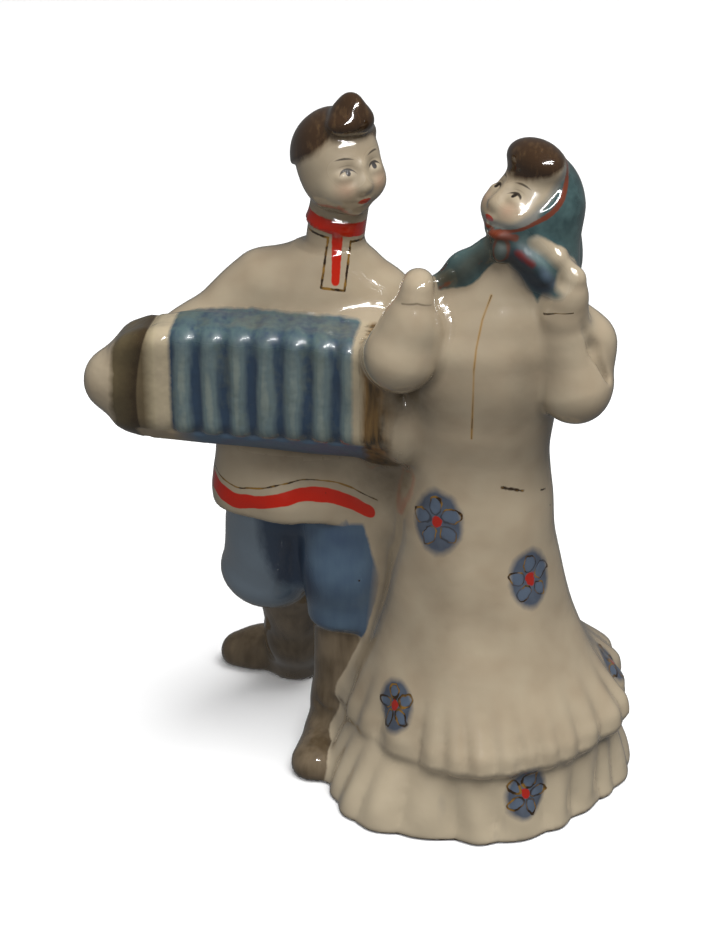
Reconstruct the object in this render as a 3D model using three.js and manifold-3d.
// A glazed porcelain figurine group: a young man in a belted shirt plays an accordion,
// and his dancing partner leans to him in a long flounced skirt and a headscarf.
// Both dancers and the accordion were cast together, so the group is one solid.
//
// Millimetres, +Z up. The group stands on z = 0, its front looks along -Y, and the
// origin lies under the middle of its bounding box.
import * as THREE from "three";
import { MarchingCubes } from "three/addons/objects/MarchingCubes.js";
import { mergeVertices } from "three/addons/utils/BufferGeometryUtils.js";
import Module from "manifold-3d";

const wasm = await Module();
wasm.setup();

// Driving dimensions of the accordion player
const PLAYER = {
  head: { x: -6.2, y: 5, z: 138.2 },
  headTurn: { yaw: 34, pitch: 2, roll: -3 },
  skull: { width: 16.8, depth: 18.6, height: 19.4 },
  neckWidth: 10.4,
  collar: { x: -6.9, y: 6.1, z: 125.2 },
  collarTilt: 14,
  waist: { x: -14.5, y: 6, z: 73, width: 37, depth: 24.8 },
  hem: { x: -14, y: 6, z: 60.6, width: 40.2, depth: 28.8 },
};

// Driving dimensions of his partner
const PARTNER = {
  head: { x: 32.6, y: -10, z: 134.6 },
  headTurn: { yaw: -60, pitch: -24, roll: 2 },
  skull: { width: 15.4, depth: 16.2, height: 18.6 },
  neckWidth: 10.4,
  waist: { x: 23.2, y: -9, z: 75, width: 29.6, depth: 23 },
};

// Driving dimensions of the accordion
const ACCORDION = {
  centre: { x: -21.6, y: -6.4, z: 93.6 },
  turn: 9,
  length: 60.6,
  shift: -1.3,
  height: 24,
  arch: 0.8,
  depth: 13.4,
  rounding: 3.4,
  bellows: { from: -18.8, to: 19.4 },
  firstFold: -18.9,
  foldPitch: 5.83,
  foldDepth: 1.1,
};

// The two flounces of the skirt stand round this point. Radii are given every 15
// degrees, from the right side over the back and the left side to the front. The
// hollows between the flutes lie at these angles, in degrees round from the right side.
const FLOUNCES = {
  centre: { x: 25, y: -7 },
  upper: {
    top: 34,
    hem: 15.4,
    flute: 1.6,
    radii: [
      32.2, 33.3, 36.2, 35.2, 32.6, 31.2, 31.6, 30.8, 31.4, 31, 31.4, 31,
      30.8, 30.4, 29.4, 29.8, 30.3, 31.2, 31.7, 31, 30.9, 30.9, 31.5, 33,
    ],
    hollows: [
      -171, -158, -144, -118, -107.5, -98, -86, -75, -68, -58, -48, -33, -17,
      -4, 14, 27, 39, 57, 70, 81, 98, 112, 124, 141, 153, 167,
    ],
  },
  lower: {
    top: 16,
    flute: 1.5,
    radii: [
      33.9, 33.4, 32.6, 33.4, 32.2, 31.5, 32, 31.2, 32, 31.6, 32.6, 33.6,
      35, 35.3, 36.6, 37.2, 34.6, 32.4, 33.1, 32.3, 31.7, 30.7, 31.4, 33.4,
    ],
    hollows: [
      -173, -162, -151, -139, -123, -101, -86, -64, -50, -31, -22, -6,
      9, 27, 38, 56, 72, 84, 103, 117, 128, 147, 160, 173,
    ],
  },
};

// How finely the group is first shaped, and how many faces are kept
const SHAPING_STEP = 1.15;
const KEPT_TRIANGLES = 10300;
const FOOT_DEPTH = 6;

const { clamp, lerp, smoothstep, degToRad } = THREE.MathUtils;

// Ways to shape clay. A form is a function of a point that gives the distance to its
// surface in millimetres, below zero inside.

function fuse(radius, ...forms) {
  return (p) => {
    let near = forms[0](p);
    for (let i = 1; i < forms.length; i++) {
      const next = forms[i](p);
      const share = Math.max(radius - Math.abs(near - next), 0) / radius;
      near = Math.min(near, next) - (share * share * radius) / 4;
    }
    return near;
  };
}

function trim(radius, form, cutter) {
  return (p) => {
    const inside = form(p);
    const beyond = cutter(p);
    const share = Math.max(radius - Math.abs(inside - beyond), 0) / radius;
    return Math.max(inside, beyond) + (share * share * radius) / 4;
  };
}

// Takes a hollow form out of another form, over a soft edge
function carve(radius, form, hollow) {
  return trim(radius, form, (p) => -hollow(p));
}

// An egg or ball with half sizes along x, y and z
function egg(centre, half) {
  return (p) => {
    const x = (p.x - centre.x) / half.x;
    const y = (p.y - centre.y) / half.y;
    const z = (p.z - centre.z) / half.z;
    const size = Math.hypot(x, y, z);
    const slope = Math.hypot(x / half.x, y / half.y, z / half.z);
    return slope > 1e-9 ? (size * (size - 1)) / slope : -half.x;
  };
}

// A rounded stick between two points, thick at one end and thin at the other
function stick(from, to, fromRadius, toRadius) {
  const axis = { x: to.x - from.x, y: to.y - from.y, z: to.z - from.z };
  const square = axis.x ** 2 + axis.y ** 2 + axis.z ** 2;
  return (p) => {
    const x = p.x - from.x;
    const y = p.y - from.y;
    const z = p.z - from.z;
    const along = clamp((x * axis.x + y * axis.y + z * axis.z) / square, 0, 1);
    const gap = Math.hypot(x - along * axis.x, y - along * axis.y, z - along * axis.z);
    return gap - lerp(fromRadius, toRadius, along);
  };
}

// A limb is a chain of sticks through joints, each { x, y, z, r }
function limb(joints, radius = 3) {
  const sticks = joints.slice(1).map((joint, i) => stick(joints[i], joint, joints[i].r, joint.r));
  return sticks.length > 1 ? fuse(radius, ...sticks) : sticks[0];
}

// A value that runs smoothly through rings that are listed from low z to high z
function curveThrough(rings, key) {
  const last = rings.length - 1;
  const slopes = rings.map((ring, i) => {
    const before = rings[Math.max(i - 1, 0)];
    const after = rings[Math.min(i + 1, last)];
    return (after[key] - before[key]) / (after.z - before.z);
  });
  return (z) => {
    const height = clamp(z, rings[0].z, rings[last].z);
    let i = 0;
    while (i < last - 1 && height > rings[i + 1].z) i++;
    const span = rings[i + 1].z - rings[i].z;
    const t = (height - rings[i].z) / span;
    const turn = t * t * (3 - 2 * t);
    const start = rings[i][key] + slopes[i] * span * t;
    const end = rings[i + 1][key] - slopes[i + 1] * span * (1 - t);
    return lerp(start, end, turn);
  };
}

// A value that runs smoothly round a circle through evenly spaced values
function curveRound(values) {
  const count = values.length;
  return (angle) => {
    const place = ((angle / (2 * Math.PI)) * count + count) % count;
    const i = Math.floor(place);
    const t = place - i;
    const [before, from, to, after] = [-1, 0, 1, 2].map((step) => values[(i + step + count) % count]);
    const rise = (to - before) / 2;
    const fall = (after - from) / 2;
    const turn = t * t * (3 - 2 * t);
    return lerp(from + rise * t, to - fall * (1 - t), turn);
  };
}

// A turned form with oval rings { z, x, y, w, d }: centre, half width and half depth
function column(rings, ripple = () => 0) {
  const [x, y, w, d] = ["x", "y", "w", "d"].map((key) => curveThrough(rings, key));
  const low = rings[0].z;
  const high = rings[rings.length - 1].z;
  return (p) => {
    const halfWidth = w(p.z);
    const halfDepth = d(p.z);
    const across = (p.x - x(p.z)) / halfWidth;
    const deep = (p.y - y(p.z)) / halfDepth;
    const size = Math.hypot(across, deep);
    const slope = Math.hypot(across / halfWidth, deep / halfDepth);
    const side = slope > 1e-9 ? (size * (size - 1)) / slope : -Math.min(halfWidth, halfDepth);
    const wall = side - ripple(Math.atan2(p.y - y(p.z), p.x - x(p.z)), p.z);
    return Math.max(wall, low - p.z, p.z - high);
  };
}

// A form that was shaped upright at the origin, then turned and set in place
function posed(form, place, { yaw = 0, pitch = 0, roll = 0 }) {
  const turn = new THREE.Euler(degToRad(pitch), degToRad(roll), degToRad(yaw), "ZYX");
  const back = new THREE.Matrix4().makeRotationFromEuler(turn).transpose().elements;
  const local = { x: 0, y: 0, z: 0 };
  return (p) => {
    const x = p.x - place.x;
    const y = p.y - place.y;
    const z = p.z - place.z;
    local.x = back[0] * x + back[4] * y + back[8] * z;
    local.y = back[1] * x + back[5] * y + back[9] * z;
    local.z = back[2] * x + back[6] * y + back[10] * z;
    return form(local);
  };
}

// Heads: a skull, a jaw and a small nose, with the face towards -Y
function bareHead({ width, depth, height }) {
  const skull = egg({ x: 0, y: 0.6, z: 1 }, { x: width / 2, y: depth / 2, z: height / 2 });
  const jaw = egg({ x: 0, y: -2.4, z: -4 }, { x: width * 0.41, y: depth * 0.37, z: height * 0.3 });
  const bridge = { x: 0, y: 1.1 - depth / 2, z: 0.4 };
  const tip = { x: 0, y: -0.2 - depth / 2, z: -2 };
  const nose = stick(bridge, tip, 0.6, 1.05);
  return fuse(1.6, fuse(4.5, skull, jaw), nose);
}

function playerHead() {
  const { width, depth, height } = PLAYER.skull;
  const thatch = egg({ x: 0, y: 1.2, z: 0.5 }, { x: width * 0.53, y: depth * 0.525, z: height * 0.505 });
  const hairline = (p) => 0.8 * (2.6 - p.z - 0.62 * p.y);
  const wave = fuse(
    2.4,
    egg({ x: -0.4, y: -5, z: 10 }, { x: 4.9, y: 3.7, z: 2.7 }),
    egg({ x: 0.6, y: -4.5, z: 12.6 }, { x: 2.6, y: 3.1, z: 3.2 }),
    stick({ x: 2, y: -5.4, z: 9.8 }, { x: 5.4, y: -2.8, z: 6.4 }, 2.3, 1.6),
    stick({ x: 0.2, y: -3, z: 10.6 }, { x: 0, y: 3.5, z: 6.4 }, 3, 2.6),
  );
  const hair = fuse(2, trim(0.8, thatch, hairline), wave);
  return posed(fuse(0.6, bareHead(PLAYER.skull), hair), PLAYER.head, PLAYER.headTurn);
}

function playerNeck() {
  const r = PLAYER.neckWidth / 2;
  const throat = stick({ x: -6.4, y: 6, z: 131 }, { x: -7.4, y: 6.2, z: 112 }, r, r + 0.4);
  const nape = stick({ x: -5, y: 9.4, z: 134 }, { x: -6.6, y: 7.4, z: 119 }, 5.8, r);
  const band = column([
    { z: -1.5, x: 0, y: 0, w: r + 1, d: r + 1.2 },
    { z: 1.5, x: 0, y: 0, w: r + 0.5, d: r + 0.8 },
  ]);
  const collar = posed(band, PLAYER.collar, { roll: PLAYER.collarTilt });
  return fuse(0.6, fuse(3, throat, nape), collar);
}

function shirt() {
  const { hem, waist } = PLAYER;
  const fold = (angle, z) => 0.4 * Math.cos(angle * 7 + 0.6) * (1 - smoothstep(z, hem.z, waist.z + 4));
  return column(
    [
      { z: hem.z, x: hem.x, y: hem.y, w: hem.width / 2 - 0.5, d: hem.depth / 2 - 0.4 },
      { z: hem.z + 2, x: hem.x, y: hem.y, w: hem.width / 2, d: hem.depth / 2 },
      { z: hem.z + 6, x: hem.x, y: hem.y, w: hem.width / 2 - 0.2, d: hem.depth / 2 - 0.3 },
      { z: waist.z, x: waist.x, y: waist.y, w: waist.width / 2, d: waist.depth / 2 },
      { z: 88, x: -13.5, y: 6, w: 18.5, d: 11.6 },
      { z: 102, x: -11.4, y: 6.4, w: 18.6, d: 10.8 },
      { z: 110, x: -10, y: 6.4, w: 17, d: 9.4 },
      { z: 115.5, x: -9.4, y: 6.4, w: 13, d: 8 },
      { z: 119.5, x: -8, y: 6.2, w: 7.6, d: 6.4 },
    ],
    fold,
  );
}

function playerArms() {
  const right = limb([
    { x: -21.5, y: 8, z: 110, r: 7.8 },
    { x: -35, y: 6.5, z: 98.5, r: 7.2 },
    { x: -47, y: 3, z: 93, r: 7.4 },
  ]);
  const left = limb([
    { x: 3, y: 6, z: 105.6, r: 7.4 },
    { x: 12, y: 0, z: 92, r: 6.6 },
    { x: 8.2, y: -12.5, z: 88, r: 3.8 },
  ]);
  const gatheredShirt = egg({ x: -0.5, y: -2, z: 101.2 }, { x: 10.4, y: 4.9, z: 6.6 });
  return fuse(2.5, right, left, gatheredShirt);
}

function playerHands() {
  const fist = egg({ x: -53.6, y: -2.6, z: 92.6 }, { x: 6.2, y: 5.9, z: 6.7 });
  const hand = egg({ x: 7.6, y: -13.4, z: 85.4 }, { x: 3.2, y: 4.2, z: 6.6 });
  return fuse(1, fist, hand);
}

function trousers() {
  const far = limb([
    { x: -20.4, y: 9.6, z: 58, r: 10.8 },
    { x: -22.2, y: 15.4, z: 39, r: 10.2 },
  ]);
  const knee = egg({ x: -22.4, y: 16.5, z: 36.4 }, { x: 10.8, y: 9.5, z: 8.2 });
  const seat = egg({ x: -12, y: 7, z: 60 }, { x: 16, y: 10.5, z: 7 });
  const web = limb([
    { x: -13, y: 9, z: 56, r: 6 },
    { x: -13.6, y: 10.5, z: 40, r: 5.4 },
  ]);
  const near = limb([
    { x: -5.6, y: 2.6, z: 60, r: 9.6 },
    { x: -5.2, y: 0.8, z: 46, r: 9.1 },
    { x: -4.9, y: 0.6, z: 36, r: 8.4 },
  ]);
  const levelCuff = trim(1.6, near, (p) => 33.2 - p.z);
  return fuse(2.6, fuse(2, far, knee), levelCuff, seat, web);
}

function boots() {
  const far = limb([
    { x: -17.4, y: 19.6, z: 32, r: 7.8 },
    { x: -16.8, y: 27.4, z: 13, r: 6.9 },
    { x: -16.8, y: 32.4, z: 2, r: 6.6 },
  ]);
  const farFoot = limb([
    { x: -18, y: 34, z: 6.2, r: 5.6 },
    { x: -26, y: 35.4, z: 3.4, r: 5.1 },
    { x: -30.4, y: 36, z: 2.6, r: 4.7 },
  ]);
  const near = limb([
    { x: -5, y: 0.6, z: 36, r: 7 },
    { x: -6, y: 0.6, z: 13, r: 6.2 },
    { x: -7.2, y: 0, z: 4, r: 6 },
  ]);
  const nearFoot = stick({ x: -8.4, y: -2, z: 3 }, { x: -11.8, y: -11.4, z: 2.6 }, 5.8, 5.2);
  const ankle = limb(
    [
      { x: -12.2, y: -3.6, z: 13.4, r: 0.3 },
      { x: -9, y: -6.6, z: 11.6, r: 0.6 },
      { x: -5.4, y: -6.4, z: 12.8, r: 0.5 },
    ],
    0.5,
  );
  return fuse(2, fuse(3, far, farFoot), carve(1.4, fuse(3, near, nearFoot), ankle));
}

// The accordion is a rounded block, chamfered below its front, with pleated bellows
// and a step where the left end meets the bellows frame
function accordion() {
  const { centre, turn, length, shift, height, arch, depth, rounding } = ACCORDION;
  const { bellows, firstFold, foldPitch, foldDepth } = ACCORDION;
  const half = { x: length / 2 - rounding, y: depth / 2 - rounding, z: height / 2 - rounding };
  const block = (p) => {
    const end = smoothstep(-p.x, 24, 31);
    const rise = arch * (1 - (p.x / 26) ** 2 - end);
    const sag = 2.4 + 0.05 * (p.x + 20) - 2.2 * end;
    const x = Math.abs(p.x - shift) - half.x;
    const y = Math.abs(p.y) - half.y;
    const z = Math.max(p.z - half.z - 2 * rise, -p.z - half.z - sag);
    const outside = Math.hypot(Math.max(x, 0), Math.max(y, 0), Math.max(z, 0));
    return outside + Math.min(Math.max(x, y, z), 0) - rounding;
  };
  const underside = (p) => -0.738 * (p.y + 6.3) - 0.674 * (p.z + 9.6);
  const body = trim(1.5, block, underside);
  const pleated = (p) => {
    const fromLeft = smoothstep(p.x, bellows.from - 1.6, bellows.from);
    const toRight = 1 - smoothstep(p.x, bellows.to - 1.2, bellows.to + 0.6);
    const inside = fromLeft * toRight;
    const wave = Math.cos(((p.x - firstFold) / foldPitch) * 2 * Math.PI);
    const groove = (0.5 + 0.5 * wave) ** 1.6;
    const shallowTop = 1 - 0.55 * smoothstep(p.z, 10, 13.5) - 0.35 * smoothstep(p.y, -2, 4);
    const front = shallowTop * smoothstep(p.z, -11.2, -9.4);
    const proud = 0.35 * inside * smoothstep(p.z, -10.4, -9.6);
    const seam = p.x + 25.5 - 0.075 * p.z - 0.0095 * p.z * p.z;
    const step = 0.35 * Math.exp(-((seam / 0.5) ** 2));
    return body(p) + foldDepth * groove * inside * front - proud + step;
  };
  return posed(pleated, centre, { yaw: -turn });
}

function partnerHead() {
  const hairRoll = egg({ x: 0, y: -3.2, z: 8 }, { x: PARTNER.skull.width * 0.47, y: 5.6, z: 4.4 });
  return posed(fuse(2.2, bareHead(PARTNER.skull), hairRoll), PARTNER.head, PARTNER.headTurn);
}

// The kerchief leaves the face free, falls over her shoulders and is tied at the chin
function kerchief() {
  const { width, depth, height } = PARTNER.skull;
  const hood = egg({ x: 0, y: 1.6, z: 0.4 }, { x: width * 0.55, y: depth * 0.5, z: height * 0.535 });
  const aheadOfBorder = (p) => {
    const z = clamp(p.z, -7.5, 9);
    return -2.5 - p.y + 0.62 * z - 0.045 * z * z;
  };
  const veil = posed(trim(0.6, hood, aheadOfBorder), PARTNER.head, PARTNER.headTurn);
  const drape = fuse(
    3,
    stick({ x: 34, y: -4.4, z: 132 }, { x: 34.6, y: -3, z: 120 }, 8.2, 8.2),
    egg({ x: 34.6, y: -2.4, z: 121 }, { x: 8.9, y: 6.4, z: 12 }),
    stick({ x: 34.8, y: -9.5, z: 132 }, { x: 37.2, y: -12, z: 116.5 }, 7.5, 5.4),
  );
  const knot = egg({ x: 26.5, y: -16.9, z: 130.7 }, { x: 3.1, y: 2.1, z: 1.4 });
  const pendant = egg({ x: 25.8, y: -16.2, z: 127.4 }, { x: 1.8, y: 2.5, z: 2.9 });
  const leftEnd = limb([
    { x: 23.6, y: -14, z: 126.4, r: 2.4 },
    { x: 19, y: -13, z: 121.8, r: 2.5 },
    { x: 12.6, y: -12, z: 117.2, r: 1.5 },
  ]);
  return fuse(2, fuse(4, veil, drape), fuse(1, knot, pendant, leftEnd));
}

// The end of the kerchief that hangs over her shoulder below the fingers
function kerchiefEnd() {
  const leaf = fuse(
    1,
    egg({ x: 0, y: 0, z: 0 }, { x: 2.8, y: 4.8, z: 6.6 }),
    egg({ x: -0.8, y: 0, z: -3 }, { x: 2.8, y: 4.6, z: 3.4 }),
  );
  return posed(leaf, { x: 32.7, y: -15.7, z: 125 }, { yaw: 8, roll: -52 });
}

function partnerBodice() {
  const { waist, neckWidth } = PARTNER;
  const shoulder = stick({ x: 27, y: -9.5, z: 118 }, { x: 15.5, y: -11, z: 112.5 }, 6.8, 5.6);
  const trunk = column([
    { z: 54, x: 23, y: -9, w: 13, d: 11 },
    { z: 64, x: 23, y: -9, w: 15.4, d: 12.6 },
    { z: waist.z, x: waist.x, y: waist.y, w: waist.width / 2, d: waist.depth / 2 },
    { z: 88, x: 23.4, y: -9.6, w: 15.4, d: 12.2 },
    { z: 102, x: 24.6, y: -10, w: 16.6, d: 12.8 },
    { z: 110, x: 26, y: -9.4, w: 15.6, d: 11.4 },
    { z: 116, x: 27, y: -9, w: 11.8, d: 9 },
    { z: 121, x: 28, y: -9, w: 7, d: 6.8 },
    { z: 128, x: 29.5, y: -10, w: neckWidth / 2, d: neckWidth / 2 },
  ]);
  return fuse(2, trunk, shoulder);
}

// Full sleeves, gathered at the wrist
function partnerSleeves() {
  const right = limb([
    { x: 14, y: -11, z: 110.5, r: 6.2 },
    { x: 6.4, y: -18.4, z: 105, r: 6.9 },
    { x: 8.4, y: -18.6, z: 112, r: 5.2 },
    { x: 9.5, y: -18.6, z: 117, r: 3.6 },
  ]);
  const leftOuter = limb([
    { x: 37.4, y: -9, z: 110, r: 6.4 },
    { x: 43.4, y: -11.5, z: 104.6, r: 6.6 },
    { x: 43.2, y: -14.5, z: 98, r: 7.1 },
  ]);
  const leftInner = limb([
    { x: 42, y: -17, z: 96.9, r: 7.2 },
    { x: 39.6, y: -15.4, z: 107, r: 5.6 },
    { x: 39.2, y: -16.6, z: 113.5, r: 4.9 },
  ]);
  const crease = limb([
    { x: 42.4, y: -20, z: 113, r: 0.4 },
    { x: 45.4, y: -19.2, z: 106.8, r: 0.8 },
    { x: 48, y: -18.6, z: 100, r: 0.4 },
  ]);
  const cuff = stick({ x: 9.4, y: -18.6, z: 117.6 }, { x: 9.6, y: -18.3, z: 118.6 }, 3.6, 3.5);
  return fuse(0.6, fuse(2, right, carve(1.6, fuse(2, leftOuter, leftInner), crease)), cuff);
}

function partnerHands() {
  const right = fuse(
    1.5,
    egg({ x: 9.9, y: -17, z: 120.2 }, { x: 3.2, y: 4.2, z: 2.8 }),
    egg({ x: 10.6, y: -14.4, z: 116.6 }, { x: 3, y: 3.4, z: 3.6 }),
  );
  const wrist = limb([
    { x: 39, y: -16.8, z: 113.5, r: 4.9 },
    { x: 39.7, y: -17.4, z: 117.6, r: 3.7 },
    { x: 40.6, y: -18, z: 121.6, r: 2.1 },
  ]);
  const fingers = limb(
    [
      { x: 40.6, y: -18, z: 121.6, r: 2.1 },
      { x: 37.4, y: -18.2, z: 126, r: 1.3 },
      { x: 33.2, y: -17.8, z: 129.6, r: 0.9 },
    ],
    1,
  );
  return fuse(1.5, right, wrist, fingers);
}

// Soft flutes of uneven width, with a hollow at each of the angles in degrees
function flutes(hollows, height) {
  const fullTurn = 2 * Math.PI;
  const starts = hollows.map(degToRad);
  const widths = starts.map((start, i) => (starts[i + 1] ?? starts[0] + fullTurn) - start);
  const mean = fullTurn / starts.length;
  return (angle) => {
    const turned = starts[0] + ((angle - starts[0] + 2 * fullTurn) % fullTurn);
    let i = starts.length - 1;
    while (i > 0 && starts[i] > turned) i--;
    const swell = Math.sin((Math.PI * (turned - starts[i])) / widths[i]);
    const rounded = 0.6 * swell + 0.4 * swell ** 2;
    return height * (widths[i] / mean) ** 0.8 * (rounded - 0.62);
  };
}

// The skirt hangs from the waist in long folds, over two gathered flounces
function skirt() {
  const { waist } = PARTNER;
  const { centre, upper, lower } = FLOUNCES;
  const longFolds = (angle, z) => 0.55 * Math.cos(angle * 7 + 1.1) * (1 - smoothstep(z, 30, 66));
  const meanRadius = ({ radii }) => radii.reduce((sum, radius) => sum + radius, 0) / radii.length;
  const ruffle = (flounce, low, high) => {
    const edge = curveRound(flounce.radii);
    const mean = meanRadius(flounce);
    const flute = flutes(flounce.hollows, flounce.flute);
    return (angle, z) => {
      const flare = 1 - smoothstep(z, low, high);
      const atHem = 0.55 + 0.45 * smoothstep(z, low - 2, low + 4);
      const lean = (0.05 * Math.sin(3 * angle) * (z - low)) / (high - low);
      return flare * (edge(angle) - mean + atHem * flute(angle + lean));
    };
  };
  const ring = (z, radius) => ({ z, x: centre.x, y: centre.y, w: radius, d: radius });
  const upperRadius = meanRadius(upper);
  const lowerRadius = meanRadius(lower);
  const bell = column(
    [
      ring(8, 28),
      { z: 22, x: 24.9, y: -7, w: 25.6, d: 25.6 },
      { z: 34, x: 24.2, y: -7.6, w: 22.6, d: 22.4 },
      { z: 46, x: 23.6, y: -8.2, w: 19.6, d: 18.6 },
      { z: 60, x: waist.x, y: waist.y, w: 17, d: 15 },
      { z: waist.z, x: waist.x, y: waist.y, w: 14.2, d: 11 },
      { z: waist.z + 8, x: waist.x, y: waist.y, w: 12, d: 9 },
    ],
    longFolds,
  );
  const upperFlounce = column(
    [
      ring(upper.hem, upperRadius - 1.2),
      ring(upper.hem + 1.2, upperRadius - 0.2),
      ring(upper.hem + 2.4, upperRadius),
      ring(upper.hem + 7, upperRadius - 1.8),
      { z: upper.top, x: 24.2, y: -7.6, w: 21.8, d: 21.6 },
      { z: upper.top + 14, x: 24, y: -8, w: 13, d: 13 },
    ],
    ruffle(upper, upper.hem + 2, upper.top),
  );
  const lowerFlounce = column(
    [
      ring(-FOOT_DEPTH, lowerRadius),
      ring(1, lowerRadius),
      ring(lower.top + 2, 28.6),
    ],
    ruffle(lower, 2, lower.top + 4),
  );
  return fuse(1.2, fuse(5, bell, upperFlounce), lowerFlounce);
}

// Clay that joins the two dancers between his shirt and leg and her skirt
function bridge() {
  return limb([
    { x: 6.5, y: -2.6, z: 97, r: 6.4 },
    { x: 5, y: -1, z: 88, r: 7 },
    { x: 4.6, y: -0.6, z: 62, r: 6.6 },
    { x: 2.4, y: 0, z: 36, r: 5 },
    { x: 1, y: 0, z: 16, r: 4.4 },
  ]);
}

// Slow unevenness of a casting that was cleaned up by hand
function handMade(form) {
  return (p) => {
    const first = Math.sin(0.31 * p.x + 0.22 * p.y + 0.27 * p.z + 0.3);
    const second = Math.sin(-0.24 * p.x + 0.36 * p.y + 0.19 * p.z + 1.9);
    const third = Math.sin(0.17 * p.x - 0.28 * p.y + 0.41 * p.z + 4.1);
    return form(p) + 0.07 * (first + second + third);
  };
}

function group() {
  const torso = fuse(1.6, fuse(4, shirt(), playerArms()), playerNeck());
  const player = fuse(0.8, fuse(1.2, torso, fuse(0.8, trousers(), boots())), playerHead());
  const musician = fuse(1, player, fuse(4.5, accordion(), playerHands()));
  const arms = fuse(0.9, partnerSleeves(), partnerHands());
  const gown = fuse(4.5, fuse(3, partnerBodice(), skirt()), kerchiefEnd());
  const dress = fuse(1.8, gown, arms);
  const partner = fuse(2.6, dress, fuse(0.8, partnerHead(), kerchief()));
  return handMade(fuse(6, fuse(3, musician, partner), bridge()));
}

// Lays a skin of triangles over the form
function skin(form, box, step) {
  const size = box.getSize(new THREE.Vector3());
  const cells = Math.ceil(Math.max(size.x, size.y, size.z) / step) + 4;
  const cubes = new MarchingCubes(cells, new THREE.MeshStandardMaterial(), false, false, 200000);
  const start = box.min.clone().subScalar(2 * step);
  const p = { x: 0, y: 0, z: 0 };
  const upTo = (length) => Math.min(Math.ceil(length / step) + 4, cells);
  cubes.field.fill(-step);
  cubes.isolation = 0;
  for (let k = 0; k < upTo(size.z); k++) {
    for (let j = 0; j < upTo(size.y); j++) {
      for (let i = 0; i < upTo(size.x); i++) {
        p.x = start.x + i * step;
        p.y = start.y + j * step;
        p.z = start.z + k * step;
        cubes.field[i + j * cells + k * cells * cells] = -form(p);
      }
    }
  }
  cubes.update();
  const geometry = new THREE.BufferGeometry();
  const corners = cubes.positionArray.slice(0, cubes.count * 3);
  geometry.setAttribute("position", new THREE.BufferAttribute(corners, 3));
  const halfSpan = (cells / 2) * step;
  geometry.scale(halfSpan, halfSpan, halfSpan);
  geometry.translate(start.x + halfSpan, start.y + halfSpan, start.z + halfSpan);
  return mergeVertices(geometry, step * 1e-3);
}

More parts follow.
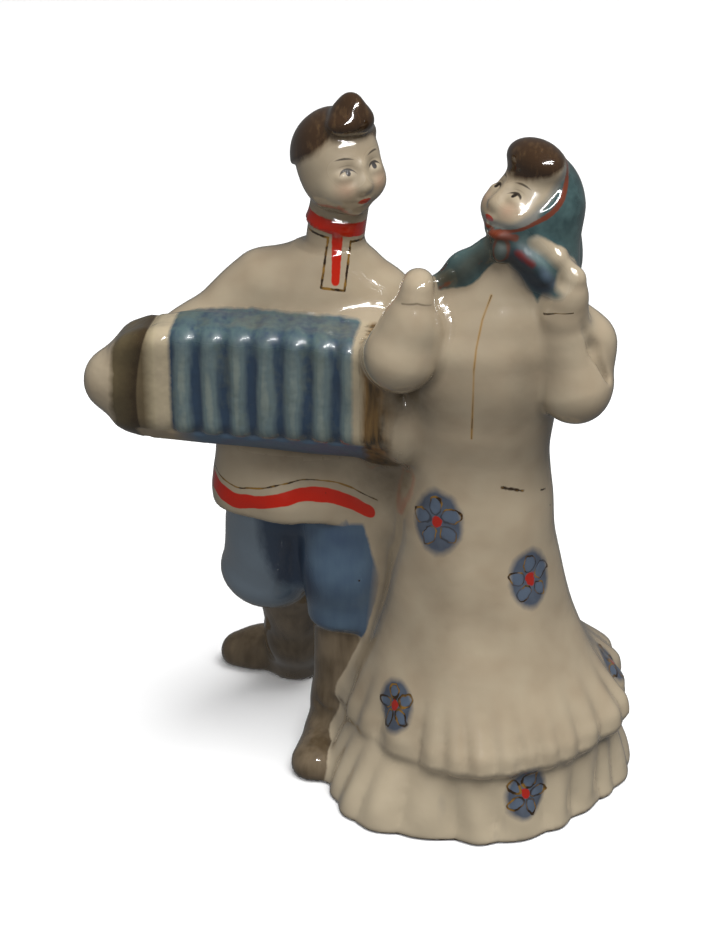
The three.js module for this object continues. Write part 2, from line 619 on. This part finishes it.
// Joins the two ends of short edges, flattest places first, until the skin has few
// enough triangles. The skin stays closed and no triangle turns over.
function lighten(geometry, target) {
  const spots = Float64Array.from(geometry.attributes.position.array);
  const faces = Int32Array.from(geometry.index.array);
  const spotCount = spots.length / 3;
  const around = Array.from({ length: spotCount }, () => new Set());
  const quadrics = Array.from({ length: spotCount }, () => new Float64Array(10));
  const stamp = new Int32Array(spotCount);
  const at = (i) => [spots[3 * i], spots[3 * i + 1], spots[3 * i + 2]];
  const minus = (a, b) => [a[0] - b[0], a[1] - b[1], a[2] - b[2]];
  const cross = (a, b) => [
    a[1] * b[2] - a[2] * b[1],
    a[2] * b[0] - a[0] * b[2],
    a[0] * b[1] - a[1] * b[0],
  ];
  const dot = (a, b) => a[0] * b[0] + a[1] * b[1] + a[2] * b[2];
  const normalOf = (a, b, c) => cross(minus(b, a), minus(c, a));

  for (let f = 0; f < faces.length; f += 3) {
    const ends = [faces[f], faces[f + 1], faces[f + 2]];
    const normal = normalOf(...ends.map(at));
    const length = Math.hypot(...normal) || 1e-12;
    const [a, b, c] = normal.map((value) => value / length);
    const d = -dot([a, b, c], at(ends[0]));
    const plane = [a * a, a * b, a * c, a * d, b * b, b * c, b * d, c * c, c * d, d * d];
    for (const end of ends) {
      around[end].add(f);
      plane.forEach((value, k) => {
        quadrics[end][k] += value * length;
      });
    }
  }

  const error = (q, [x, y, z]) =>
    q[0] * x * x + 2 * q[1] * x * y + 2 * q[2] * x * z + 2 * q[3] * x + q[4] * y * y +
    2 * q[5] * y * z + 2 * q[6] * y + q[7] * z * z + 2 * q[8] * z + q[9];

  const bestSpot = (q, a, b) => {
    const middle = a.map((value, k) => (value + b[k]) / 2);
    const columns = [[q[0], q[1], q[2]], [q[1], q[4], q[5]], [q[2], q[5], q[7]]];
    const pull = [-q[3], -q[6], -q[8]];
    const volume = dot(columns[0], cross(columns[1], columns[2]));
    const scale = (q[0] + q[4] + q[7]) ** 3;
    if (Math.abs(volume) < scale * 1e-5) return middle;
    const spot = [
      dot(pull, cross(columns[1], columns[2])) / volume,
      dot(columns[0], cross(pull, columns[2])) / volume,
      dot(columns[0], cross(columns[1], pull)) / volume,
    ];
    const reach = Math.hypot(...minus(a, b));
    return Math.hypot(...minus(spot, middle)) < 1.5 * reach ? spot : middle;
  };

  const heap = [];
  const swap = (i, j) => {
    [heap[i], heap[j]] = [heap[j], heap[i]];
  };
  const push = (edge) => {
    heap.push(edge);
    for (let i = heap.length - 1; i > 0; ) {
      const parent = (i - 1) >> 1;
      if (heap[parent].cost <= heap[i].cost) break;
      swap(i, parent);
      i = parent;
    }
  };
  const pop = () => {
    const top = heap[0];
    const last = heap.pop();
    if (heap.length) {
      heap[0] = last;
      for (let i = 0; ; ) {
        let least = i;
        for (const child of [2 * i + 1, 2 * i + 2]) {
          if (child < heap.length && heap[child].cost < heap[least].cost) least = child;
        }
        if (least === i) break;
        swap(i, least);
        i = least;
      }
    }
    return top;
  };
  const neighbours = (i) => {
    const found = new Set();
    for (const f of around[i]) for (let k = 0; k < 3; k++) found.add(faces[f + k]);
    found.delete(i);
    return found;
  };
  const propose = (i, j) => {
    const q = quadrics[i].map((value, k) => value + quadrics[j][k]);
    const a = at(i);
    const b = at(j);
    const spot = bestSpot(q, a, b);
    const square = dot(minus(a, b), minus(a, b));
    push({ i, j, spot, cost: error(q, spot) + 1e-3 * square, mark: stamp[i] + stamp[j] });
  };
  const turnsOver = (i, j, spot) => {
    for (const f of around[i]) {
      const ends = [faces[f], faces[f + 1], faces[f + 2]];
      if (ends.includes(j)) continue;
      const before = normalOf(...ends.map(at));
      const after = normalOf(...ends.map((end) => (end === i ? spot : at(end))));
      if (dot(before, after) < 0.25 * Math.hypot(...before) * Math.hypot(...after)) return true;
      if (Math.hypot(...after) < 1e-3) return true;
    }
    return false;
  };

  for (let i = 0; i < spotCount; i++) for (const j of neighbours(i)) if (i < j) propose(i, j);
  let left = faces.length / 3;
  while (left > target && heap.length) {
    const { i, j, spot, mark } = pop();
    if (!around[i].size || !around[j].size || stamp[i] + stamp[j] !== mark) continue;
    const nearby = neighbours(i);
    if (!nearby.has(j)) continue;
    const shared = [...neighbours(j)].filter((k) => nearby.has(k));
    if (shared.length !== 2 || turnsOver(i, j, spot) || turnsOver(j, i, spot)) continue;
    spots.set(spot, 3 * i);
    quadrics[j].forEach((value, k) => {
      quadrics[i][k] += value;
    });
    for (const f of around[j]) {
      const ends = [faces[f], faces[f + 1], faces[f + 2]];
      if (ends.includes(i)) {
        ends.forEach((end) => around[end].delete(f));
        left -= 1;
      } else {
        faces[f + ends.indexOf(j)] = i;
        around[i].add(f);
      }
    }
    around[j].clear();
    const ring = neighbours(i);
    stamp[i] += 1;
    for (const k of ring) stamp[k] += 1;
    for (const k of ring) {
      propose(i, k);
      for (const other of neighbours(k)) {
        if (other !== i && (other > k || !ring.has(other))) propose(k, other);
      }
    }
  }

  const kept = new Set();
  around.forEach((set) => set.forEach((f) => kept.add(f)));
  const index = [...kept].flatMap((f) => [faces[f], faces[f + 1], faces[f + 2]]);
  const light = new THREE.BufferGeometry();
  light.setAttribute("position", new THREE.BufferAttribute(Float32Array.from(spots), 3));
  light.setIndex(index);
  return light;
}

function toSolid(geometry) {
  const merged = mergeVertices(geometry, 1e-4);
  const { position } = merged.attributes;
  return new wasm.Manifold(
    new wasm.Mesh({
      numProp: 3,
      vertProperties: Float32Array.from(position.array),
      triVerts: Uint32Array.from(merged.index.array),
    }),
  );
}

// Cuts the feet and the hem off level, so that the group stands on z = 0
function standLevel(geometry, box) {
  const size = box.getSize(new THREE.Vector3()).addScalar(20);
  const above = new THREE.BoxGeometry(size.x, size.y, size.z).translate(0, 0, size.z / 2);
  above.deleteAttribute("normal");
  above.deleteAttribute("uv");
  const { vertProperties, triVerts } = toSolid(geometry).intersect(toSolid(above)).getMesh();
  const level = new THREE.BufferGeometry();
  level.setAttribute("position", new THREE.BufferAttribute(Float32Array.from(vertProperties), 3));
  level.setIndex(Array.from(triVerts));
  return level;
}

const box = new THREE.Box3(
  new THREE.Vector3(-61, -42, -FOOT_DEPTH),
  new THREE.Vector3(61, 43, 156),
);
const figures = standLevel(lighten(skin(group(), box, SHAPING_STEP), KEPT_TRIANGLES), box);
figures.computeVertexNormals();
const porcelain = new THREE.MeshStandardMaterial({ color: 0xe9e4d6, roughness: 0.12 });
const mesh = new THREE.Mesh(figures, porcelain);
mesh.name = "figurine_group";
const root = new THREE.Group();
root.add(mesh);
export default root;
